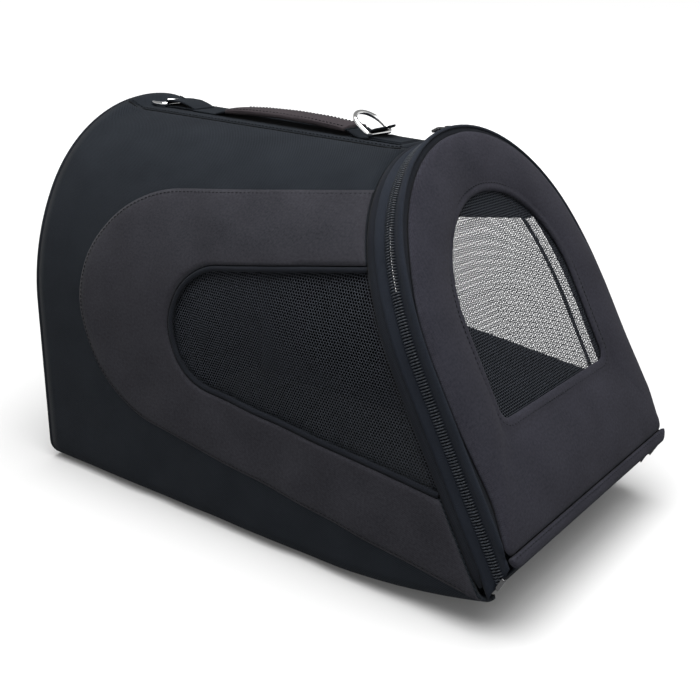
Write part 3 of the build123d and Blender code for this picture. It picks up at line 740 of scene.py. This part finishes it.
def side_facing(side, hand):
    """The brushed facing round the window, slightly padded and sewn down along its edge."""
    steps = np.linspace(0, 1, 16)
    loft = 1.1 - 0.9 * smooth((steps - 0.975) / 0.025) + 0.5 * np.sin(math.pi * steps) ** 0.5
    facing = between(window_edge, facing_edge, steps, loft[None, :], hand)
    piece = ruled(f"facing_cloth_{side}", facing, MICROFIBRE, FACING_CLOTH)
    place(piece, "carrier", "charcoal_facing", f"side_facing_{side}")
    row = shell(*facing_stitch, 1.15, hand)
    up = unit(shell(*facing_stitch, 2.0, hand) - shell(*facing_stitch, 1.0, hand))
    place(stitches(f"facing_stitching_{side}", row, up, THREAD), "carrier", "charcoal_facing")


def side_window(side, hand):
    """The piped and bound net window."""
    bead = shell(*window_inside, -0.4, hand)
    up = unit(shell(*window_inside, 1.0, hand) - shell(*window_inside, 0.0, hand))
    piping = sweep(f"window_bead_{side}", bead, up, round_section(1.9, 1.7), BINDING)
    place(piping, "carrier", "piping_tape", f"window_piping_{side}")
    lap = between(window_inside, window_lap, np.linspace(0, 1, 4), -4.4, hand)
    place(ruled(f"window_binding_{side}", lap, BINDING, BINDING_CLOTH), "carrier", "piping_tape")

    def on_wall(x, z, lift):
        s, t = settle(x, z)
        return shell(s, np.minimum(t, 1.0), lift - 3.4, hand)

    knit, area = net(f"window_net_{side}", in_teardrop(WINDOW, 4.0), on_wall)
    place(face_out(knit, MIDDLE), "carrier", "window_mesh", f"side_mesh_{side}")


for side, hand in SIDES:
    side_wall(side, hand)
    side_facing(side, hand)
    side_window(side, hand)

# ---- Roof, base and rear ----------------------------------------------------------

t = np.linspace(0, 1, 60)[:, None]
k = np.linspace(-1, 1, 17)[None, :]
s = 5 - np.abs(k) * (5 - seam_s(t))
roof = shell(s, t + 0 * k, 0.7 - 0.5 * np.abs(k) ** 6, 1)
roof[..., 1] *= np.sign(k)
piece = make("roof_cloth", roof.reshape(-1, 3), grid_faces(60, 17), OXFORD, roof[..., :2])
place(thicken(face_out(piece, MIDDLE), ROOF), "carrier", "black_fabric", "roof_panel")
for side, hand in SIDES:
    t = np.linspace(0.01, 0.985, 120)
    edge = shell(seam_s(t) + 0.012, t, 0.75, hand)
    up = unit(shell(seam_s(t), t, 1.5, hand) - shell(seam_s(t), t, 0.5, hand))
    place(stitches(f"roof_stitching_{side}", edge, up, THREAD), "carrier", "black_fabric")
    welt = shell(seam_s(t) - 0.012, t, 0.2, hand)
    seam = sweep(f"roof_seam_{side}", welt, up, round_section(0.55, 0.5, 8), THREAD)
    place(seam, "carrier", "piping_tape")

t = np.linspace(0, 0.985, 60)[:, None]
k = np.linspace(-1, 1, 25)[None, :]
base = tunnel(np.abs(k) + 0 * t, t + 0 * k)
base[..., 1] *= np.where(k < 0, -1, 1)
base[..., 2] += 1.8 * smooth((base[..., 0] - 165) / 30)
piece = make("base_cloth", base.reshape(-1, 3), grid_faces(60, 25), OXFORD, base[..., :2])
place(thicken(face_out(piece, (0, 0, 120)), BASE), "carrier", "black_fabric", "base_panel")

# The rear panel: rings from its rim in towards a point half way up, sunk a little at the middle.
y, v = both_halves(*arch_at(inset(REAR_ARCH, 0.8), outline_steps((8, 6, 14, 14, 16))))
rings = np.concatenate([[1.0, 0.985, 0.96], np.linspace(0.9, 0.08, 12)])
hub = 130.0
rear = np.stack(
    [
        REAR_X - 2.6 * (1 - rings[:, None] ** 6) + 0 * y[None],
        rings[:, None] * y[None],
        hub + rings[:, None] * (v[None] - hub),
    ],
    -1,
)
count = len(y)
faces = grid_faces(len(rings), count, close_columns=True)
faces.append(tuple((len(rings) - 1) * count + i for i in reversed(range(count))))
piece = make("rear_cloth", rear.reshape(-1, 3), faces, OXFORD, rear[..., 1:])
place(thicken(face_out(piece, MIDDLE), REAR), "carrier", "black_fabric", "rear_panel")

# ---- Bound edges ------------------------------------------------------------------


def tips(path):
    """Sizes along a bead that is tucked in at its two ends."""
    run = lengths(np.asarray(path))
    left = np.minimum(run, run[-1] - run)
    return 0.35 + 0.65 * np.sqrt(np.clip(left / 5.0, 0, 1))


y, v = both_halves(*arch_at(inset(REAR_ARCH, 2.4), outline_steps((10, 8, 16, 18, 22))))
loop = np.stack([REAR_X - 2.2 + 0 * y, y, v], 1)
bead = sweep("rear_bead", loop, (-1, 0, 0), round_section(2.5, 2.9), BINDING, closed=True)
place(bead, "carrier", "piping_tape", "rear_piping")
line = whole_arch(inset(FRONT_ARCH, 2.6), 2.8, foot=22.0, floor=False)
section = round_section(2.5, 2.9, 14, 2.6)
bead = sweep("front_bead", line, OUTWARDS, section, BINDING, scale=tips(line))
place(bead, "carrier", "piping_tape", "front_piping")

# ---- Zip: tapes, coils and end stops ----------------------------------------------

PITCH = 1.9  # from one tooth of a coil to its next
COIL_DEPTH = 2.4  # of the coils inside the band arch
FINE = (1, 6, 40, 30, 40)  # points to each stretch of an arch that carries a tape


def foot_at(n):
    """Height up the slope where the band between body and door ends, rising to the hinge."""
    return 24.0 + 0.7 * n


def band(name, section):
    """A tape along the band arch; section pairs heights out from the body with depths in from the arch."""
    columns = []
    for n, depth in section:
        arch = whole_arch(inset(BAND_ARCH, depth), n, foot=foot_at(n), floor=False, per=FINE)
        columns.append(spaced(arch, 3.0))
    count = min(len(column) for column in columns)
    columns = [column[np.linspace(0, len(column) - 1, count).round().astype(int)] for column in columns]
    points = np.stack(columns, 1)
    along = lengths(points[:, 0])[:, None] + 0 * points[..., 0]
    across = np.array([n for n, _ in section])[None] + 0 * along
    threads = np.stack([along, across], -1)
    piece = make(name, points.reshape(-1, 3), grid_faces(*points.shape[:2]), TAPE, threads)
    return thicken(face_out(piece, DOORWAY), TAPE_CLOTH)


BODY_TAPE = (
    (3.0, 2.2), (5.0, 1.2), (6.4, 1.0), (8.0, 1.3), (10.0, 2.2), (11.4, 2.9), (12.4, 3.2), (16.0, 3.3),
)
DOOR_TAPE = (
    (17.0, 3.3), (20.6, 3.2), (21.6, 2.9), (23.0, 2.2), (24.6, 1.5), (26.0, 1.2), (27.4, 1.6),
)
place(band("tape_body", BODY_TAPE), "carrier", "zip_tape", "zip_tape_body")
place(band("tape_door", DOOR_TAPE), "door", "zip_tape", "zip_tape_door")


def coil(name, foot, root, tip, first=0):
    """Interlocking teeth of a nylon coil: one small bent loop per turn, from root to tip."""
    arch = whole_arch(inset(BAND_ARCH, COIL_DEPTH), 0.0, foot=foot, floor=False, per=(1, 6, 60, 60, 80))
    line = spaced(arch, PITCH / 2)[first::2]
    ahead = unit(np.gradient(line, axis=0))
    normal = np.array(OUTWARDS)
    aside = unit(np.cross(normal, ahead))
    aside *= np.sign((aside * (line - DOORWAY)).sum(1))[:, None]
    share = np.array([0.0, 0.3, 0.62, 0.86, 1.0])
    height = np.array([-0.7, 0.45, 0.75, 0.45, -0.35])
    size = np.array([0.36, 0.50, 0.54, 0.56, 0.40])
    ring = np.linspace(0, 2 * math.pi, 6, endpoint=False)
    points, faces = [], []
    for i, (p, a, side) in enumerate(zip(line, ahead, aside)):
        spine = p + normal * (root + (tip - root) * share)[:, None] + side * height[:, None]
        start = i * 30
        for q, r in zip(spine, size):
            points.append(q + a * (np.cos(ring) * r)[:, None] + side * (np.sin(ring) * r)[:, None])
        faces += grid_faces(5, 6, close_columns=True, start=start)
        faces.append(tuple(start + j for j in range(5, -1, -1)))
        faces.append(tuple(start + 24 + j for j in range(6)))
    return close_up(make(name, np.vstack(points), faces, COIL))


place(coil("coil_body", foot_at(14), 12.8, 17.0), "carrier", "zip_coil", "zip_coil_body")
place(coil("coil_door", foot_at(18), 20.2, 16.0, 1), "door", "zip_coil", "zip_coil_door")

for side, hand in SIDES:
    n = np.linspace(12.6, 20.4, 8)
    line = front_point(np.full(8, hand * (BAND_ARCH.half_width - COIL_DEPTH)), foot_at(n) - 0.4, n)
    stop = sweep(f"zip_stop_{side}", line, (0, hand, 0), round_section(1.5, 1.3, 14, 3.5), ENAMEL)
    place(stop, "carrier", "zip_metal", "zip_end_stops")

# ---- Door -------------------------------------------------------------------------

SEAM_V = 50.0  # height up the slope of the seam between the door's cover and its hem

lip = whole_arch(inset(DOOR_ARCH, 0.4), 26.8, foot=45.0, floor=False)
section = round_section(1.3, 2.4, 14, 2.6)
piping = sweep("door_lip", lip, OUTWARDS, section, TAPE, scale=tips(lip))
place(piping, "door", "piping_tape", "door_piping")

# A flat black tape that closes the groove between the piping and the cover.
rows = [whole_arch(inset(DOOR_ARCH, d), 28.0, foot=51.0, floor=False, per=FINE) for d in (0.6, 4.0, 9.0)]
rows = np.stack(rows, 1)
piece = make("door_seam_tape", rows.reshape(-1, 3), grid_faces(*rows.shape[:2]), BINDING, rows[..., 1:])
place(thicken(face_out(piece, (0, 0, 130)), 0.5), "door", "piping_tape", "door_piping")

# The padded cover: a closed form between the window and the rim, which draws in from the piping.
s = np.concatenate([outline_steps((10, 8, 24, 22)), 4 + np.arange(28) / 27.5])
y_in, v_in = both_halves(*arch_at(DOOR_WINDOW, s))
y_out, v_out = both_halves(*arch_at(DOOR_ARCH._replace(foot=50.2), s))
pull_in = np.where(
    y_out < 0,
    1.2 + 4.2 * smooth((np.abs(v_out - 165) - 25) / 60),
    1.2 + 3.6 * smooth((v_out - 150) / 80) - 4.5 * np.exp(-(((v_out - 75) / 40) ** 2)),
)
pull_in = 0.4 + (pull_in - 0.4) * smooth((v_out - 50) / 34)
pull_in *= smooth(np.abs(y_out) / 60 + np.clip(v_out - 60, 0, None) / 30)
crown_centre = DOOR_ARCH.apex - DOOR_ARCH.crown_radius
spread = np.where(v_out > DOOR_ARCH.spring, v_out - crown_centre, 0.0)
inwards = -unit(np.stack([y_out, spread], 1))
y_out = y_out + inwards[:, 0] * pull_in
v_out = v_out + inwards[:, 1] * pull_in

profile = [  # share of the way from window to rim, and height above the door plane
    (0.012, 28.7), (0.0, 29.6), (0.012, 30.6), (0.04, 31.3), (0.085, 31.45), (0.12, 31.15),
    (0.17, 31.9), (0.28, 32.7), (0.42, 33.1), (0.58, 33.2), (0.72, 33.0), (0.84, 32.6),
    (0.92, 32.0), (0.965, 31.2), (0.99, 30.2), (1.0, 29.3), (0.985, 28.5), (0.6, 28.45), (0.3, 28.45),
]
share, height = np.array(profile).T
y = y_in[:, None] * (1 - share) + y_out[:, None] * share
v = v_in[:, None] * (1 - share) + v_out[:, None] * share
soft = 0.35 * np.sin(0.06 * y + 0.045 * v) + 0.25 * np.sin(0.11 * y - 0.07 * v + 1.0)
n = height[None] + soft * np.sin(math.pi * np.clip(share, 0, 1)) * (height > 30)
cover = front_point(y, v, n)
rows, columns = cover.shape[:2]
# The cover takes the darker copy of the facing cloth, which is painted shade.
piece = make(
    "door_cover",
    cover.reshape(-1, 3),
    grid_faces(rows, columns, close_rows=True, close_columns=True),
    SHADED_DOOR_CLOTH,
    np.stack([y, v], -1),
)
held = np.where((height[None] < 30.4) | (np.abs(share[None] - 0.1) < 0.03), 1.0, 0.0) + 0 * y
plump(close_up(piece), held, 0.8)
place(piece, "door", "charcoal_facing", "door_panel")

y, v = both_halves(*arch_at(inset(DOOR_WINDOW, -5.5), outline_steps((14, 6, 20, 20, 24))))
row = front_point(y, v, 31.3 + 0 * y)
place(stitches("door_window_stitching", row, OUTWARDS, THREAD, closed=True), "door", "charcoal_facing")

# The hem: a flat fold along the foot, rounded off at both ends.
HEM_HALF, HEM_ROUND, HEM_FOOT = 122.0, 9.0, 41.2
HEM_SECTION = np.array(  # share of the way up the hem, and height above the door plane
    [
        (0.0, 29.6), (0.06, 31.0), (0.3, 31.7), (0.6, 31.9), (0.88, 31.6),
        (1.0, 30.6), (1.0, 28.9), (0.5, 28.6), (0.06, 28.7),
    ]
)
y = np.concatenate([-HEM_HALF + HEM_ROUND * (1 - np.cos(np.linspace(0, math.pi / 2, 9))), [0.0]])
y = np.concatenate([y[:-1], np.linspace(y[-2], -y[-2], 60)[1:-1], -y[-2::-1]])
past_round = np.clip(np.abs(y) - HEM_HALF + HEM_ROUND, 0, None)
cut = HEM_ROUND - np.sqrt(np.clip(HEM_ROUND**2 - past_round**2, 0, None))
low, top = HEM_FOOT + 0.75 * cut, np.full(len(y), SEAM_V - 0.5)
v = low[:, None] * (1 - HEM_SECTION[:, 0]) + top[:, None] * HEM_SECTION[:, 0]
y = y[:, None] + 0 * v
fold = front_point(y, v, HEM_SECTION[None, :, 1] + 0 * v)
rows, columns = v.shape
faces = grid_faces(rows, columns, close_columns=True)
faces += [tuple(range(columns)), tuple(range((rows - 1) * columns, rows * columns))]
# The hem takes the same darker copy of the cloth, painted shade.
hem = close_up(make("door_hem_fold", fold.reshape(-1, 3), faces, SHADED_DOOR_CLOTH, np.stack([y, v], -1)))
place(hem, "door", "charcoal_facing", "door_hem")
row = front_point(np.linspace(-118, 118, 80), np.full(80, SEAM_V - 1.8), np.full(80, 31.6))
place(stitches("hem_stitching", row, OUTWARDS, THREAD), "door", "charcoal_facing")


def on_door(y, v, lift):
    """Points of the door's net, which hangs a little hollow."""
    dish = 1.0 - np.clip(np.hypot(y / 80, (v - 192) / 75), 0, 1) ** 2
    return front_point(y, v, 28.0 + lift - 1.2 * dish)


window_out = inset(DOOR_WINDOW, -4.0)


def inside_door_window(y, v):
    """Tells which points of the door's plane lie in the window or under its edge."""
    w, r = window_out.half_width, window_out.crown_radius
    top = np.hypot(y, v - (window_out.apex - r)) < r
    return np.where(v < window_out.spring, (np.abs(y) < w) & (v > window_out.foot), top)


region = {"box": ((-84, 116), (84, 270)), "inside": inside_door_window}
knit, area = net("door_net", region, on_door)
place(face_out(knit, MIDDLE), "door", "window_mesh", "door_mesh")

# Fabric hinge from the base's front edge up behind the door's foot.
path = np.array([(194.6, 21.8), (199.0, 29.8), (205.0, 38.8), (211.0, 46.6)])
up_door = np.array([(FRONT_X - v * SIN + 26.9 * COS, v * COS + 26.9 * SIN) for v in (45.5, 50.0, 56.0)])
path = np.vstack([path, up_door])
run = lengths(path)
at = np.linspace(0, run[-1], 26)
x, z = np.interp(at, run, path[:, 0]), np.interp(at, run, path[:, 1])
y = np.linspace(-114.0, 114.0, 47)
sheet = np.stack([x[:, None] + 0 * y, y[None] + 0 * x[:, None], z[:, None] + 0 * y], -1)
piece = make("hinge_cloth", sheet.reshape(-1, 3), grid_faces(26, 47), OXFORD, sheet[..., :2])
thicken(face_out(piece, MIDDLE), HINGE, 0.0)
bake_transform(piece)
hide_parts("hinge_strip")

# ---- Floor ------------------------------------------------------------------------

rear_round, front_round = [-197.0, -196.6, -195.2, -192.5], [171.5, 174.2, 175.2, 175.0]
x = np.concatenate([rear_round, np.linspace(-186, 165, 46), front_round])
section = round_section(107.0, 5.0, 64, 7.0)
line = np.stack([x, 0 * x, bow(x) + 11.7], 1)
pad = sweep("fleece_floor_pad", line, (0, 0, 1), section, FLEECE)
points = np.array([v.co for v in pad.data.vertices]) / MM
lies_on_board = points[:, 2] - bow(points[:, 0]) < 9.0
plump(pad, lies_on_board, 1.2)
place(pad, "carrier", "fleece_pad", "floor_pad")

# ---- Straps, tabs and grip --------------------------------------------------------


def strap(name, profile, half_width, thickness, point=0.0):
    """Webbing lying along a side-view line; point is the length of its far end's tip, if any."""
    path = np.array([(x, 0.0, z) for x, z in profile])
    fine = spaced(path, 0.7)
    for _ in range(3):
        fine[1:-1] = (fine[:-2] + 2 * fine[1:-1] + fine[2:]) / 4
    run = lengths(fine)
    across = np.linspace(-1, 1, 13)
    left = np.clip((run[-1] - run) / point, 0.06, 1) if point else np.ones(len(run))
    sideways = across[None, :, None] * half_width * left[:, None, None]
    points = fine[:, None] + np.array([0, 1, 0]) * sideways
    threads = np.stack([run[:, None] + 0 * across, across[None] * half_width + 0 * run[:, None]], -1)
    piece = make(name, points.reshape(-1, 3), grid_faces(len(fine), 13), WEBBING, threads)
    return thicken(piece, thickness, 0.0)


REAR_BAR, FRONT_BAR = (-181.0, 283.47), (24.5, 277.22)
TAB_HALF, STRAP_HALF, LOOP = 11.2, 12.3, 2.7
TAB_THICK, ANCHOR_THICK, STRAP_THICK = 1.2, 1.3, 1.4


def around(bar, start, end):
    """Side-view points of a loop round a ring's bar, between two angles in degrees."""
    a = np.radians(np.linspace(start, end, 9))
    return [(bar[0] + LOOP * math.cos(i), bar[1] + LOOP * math.sin(i)) for i in a]


tab = (
    [(-150.0, roof_z(-150.0) + 1.8), (-172.0, roof_z(-172.0) + 2.0)]
    + around(REAR_BAR, 250, 95)
    + [(-174.0, 286.4), (-164.0, 285.8), (-156.0, 283.6), (-150.0, 281.2)]
)
place(strap("rear_ring_tab", tab, TAB_HALF, TAB_THICK), "carrier", "webbing", "ring_tab_rear")
tab = (
    [(50.0, roof_z(50.0) + 1.9), (36.0, roof_z(36.0) + 2.0), (27.0, roof_z(27.0) + 2.6)]
    + around(FRONT_BAR, 265, 80)
    + [(28.0, 281.0), (32.5, 282.2), (37.5, 283.8)]
)
tab = strap("front_ring_tab", tab, TAB_HALF, TAB_THICK, point=8.0)
place(tab, "carrier", "webbing", "ring_tab_front")

x = np.linspace(-150.5, -125.6, 12)
anchor = strap("rear_anchor", [(i, roof_z(i) + 1.4) for i in x], STRAP_HALF, ANCHOR_THICK)
place(anchor, "carrier", "webbing", "handle_anchor_rear")
x = np.linspace(14.0, 51.0, 12)
climb = [(5.0, 278.2), (9.0, 276.2)] + [(i, roof_z(i) + 1.2) for i in x]
anchor = strap("front_anchor", climb, STRAP_HALF, ANCHOR_THICK)
place(anchor, "carrier", "webbing", "handle_anchor_front")

GRIP = (-114.5, 3.6)
GRIP_HALF = 13.5
HANDLE_LINE = (
    (-127.0, 279.4), (-115.0, 282.5), (-90.0, 283.5), (-60.0, 283.4), (-28.0, 281.8), (4.0, 278.6),
)
x = np.linspace(-125.8, 4.0, 90)
z = np.interp(x, *np.array(HANDLE_LINE).T)
for _ in range(12):
    z[1:-1] = (z[:-2] + 2 * z[1:-1] + z[2:]) / 4
line = np.stack([x, z], 1)
webbing = strap("grip_webbing", line[x > -115], STRAP_HALF, STRAP_THICK)
place(webbing, "handle", "webbing", "handle_webbing")
tail = strap("handle_tail", line[x < -112], STRAP_HALF - 0.1, STRAP_THICK)
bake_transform(tail)

# The grip: cloth folded round the webbing and sewn, so its edges stay crisp and its back is low.
inside = (x > GRIP[0]) & (x < GRIP[1])
path = np.stack([x[inside], 0 * x[inside], z[inside]], 1)
section = round_section(GRIP_HALF, 1.9, 44, 5.0)
section[:, 1] += 0.5 * np.cos(section[:, 0] / GRIP_HALF * math.pi / 2) * (section[:, 1] > 0)
grip = sweep("grip_wrap", path, (0, 0, 1), section, GRIP_CLOTH)
plump(grip, path_share(grip, GRIP), 0.5)
place(grip, "handle", "grip_fabric", "handle_grip")
for side, y in (("right", -11.4), ("left", 11.4)):
    row = np.stack([path[2:-2, 0], np.full(len(path) - 4, y), path[2:-2, 2] + 2.1], 1)
    place(stitches(f"grip_stitching_{side}", row, (0, 0, 1), THREAD), "handle", "grip_fabric")

# ---- Finishes of the hardware -----------------------------------------------------

for nodes, material in (
    (("d_ring_rear", "d_ring_front"), CHROME),
    (("slider_a", "slider_b", "pull_a", "pull_b"), ENAMEL),
    (("rear_hoop_wire", "front_hoop_wire", "door_hoop_wire"), SPRING),
    (("base_board",), BOARD),
):
    for name in nodes:
        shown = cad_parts[name]
        shown.data.materials.clear()
        shown.data.materials.append(material)

# ---- Floor, light and camera ------------------------------------------------------

# A lit white table: it takes the lamp's light near the bag and glows further out.
FLOOR_REACH = 60000.0
material, tree = blank("pale_studio_floor")
spot = add(tree, "TexCoord").outputs["Object"]
away = add(tree, "VectorMath", {0: spot}, operation="LENGTH").outputs["Value"]
near_to_far = {"Value": away, "From Min": 0.3, "From Max": 1.6, "To Min": 0.05, "To Max": 0.95}
glow = add(tree, "MapRange", near_to_far)
floor_look = {"Base Color": srgb("#a6a6a6"), "Roughness": 0.95, "Emission Color": srgb("#ffffff")}
surface = add(tree, "BsdfPrincipled", {**floor_look, "Emission Strength": glow.outputs[0]})
add(tree, "OutputMaterial", {"Surface": surface.outputs[0]})
corners = [(a * FLOOR_REACH, b * FLOOR_REACH, -0.3) for a, b in ((-1, -1), (1, -1), (1, 1), (-1, 1))]
floor = make("studio_floor", corners, [(0, 1, 2, 3)], material)
floor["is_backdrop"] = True

# A studio with white walls and a dimmer ceiling, so that the lamps do the modelling.
world = bpy.data.worlds.new("studio")
bpy.context.scene.world = world
world.use_nodes = True
tree = world.node_tree
towards = add(tree, "TexCoord").outputs["Generated"]
height = add(tree, "SeparateXYZ", {0: towards}).outputs["Z"]
wall_to_ceiling = {"Value": height, "From Min": 0.1, "From Max": 0.45, "To Min": 1.0, "To Max": 0.3}
dim = add(tree, "MapRange", wall_to_ceiling)
tree.nodes["Background"].inputs["Color"].default_value = srgb("#ffffff")
tree.links.new(dim.outputs[0], tree.nodes["Background"].inputs["Strength"])

for name, spot, aim, size, watts in (
    ("softbox_top", (0.15, -0.2, 1.5), (0.0, 0.0, 0.15), 1.6, 80),
    ("softbox_front", (1.3, -1.1, 1.1), (0.05, 0.0, 0.15), 1.2, 5),
):
    lamp = bpy.data.lights.new(name, "AREA")
    lamp.shape, lamp.size, lamp.energy = "SQUARE", size, watts
    stand = bpy.data.objects.new(name, lamp)
    stand.location = spot
    stand.rotation_mode = "QUATERNION"
    stand.rotation_quaternion = (Vector(aim) - Vector(spot)).to_track_quat("-Z", "Y")
    bpy.context.collection.objects.link(stand)

# The camera stands a little above the bag's top, at its door's right-hand corner.
azimuth, elevation, roll = math.radians(36.67), math.radians(19.42), math.radians(0.974)
level = math.cos(elevation)
back = Vector((math.sin(azimuth) * level, -math.cos(azimuth) * level, math.sin(elevation)))
right = Vector((math.cos(azimuth), math.sin(azimuth), 0.0))
upward = back.cross(right)
turned = right * math.cos(roll) + upward * math.sin(roll)
upward = upward * math.cos(roll) - right * math.sin(roll)
camera = bpy.data.objects.new("camera", bpy.data.cameras.new("camera"))
camera.matrix_world = Matrix((
    (turned.x, upward.x, back.x, 0.4414),
    (turned.y, upward.y, back.y, -0.5911),
    (turned.z, upward.z, back.z, 0.3677),
    (0, 0, 0, 1),
))
camera.data.lens, camera.data.sensor_width = 51.38, 36.0
camera.data.clip_start = 0.01
bpy.context.collection.objects.link(camera)
bpy.context.scene.camera = camera
bpy.context.scene.view_settings.view_transform = "Standard"

low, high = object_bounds()
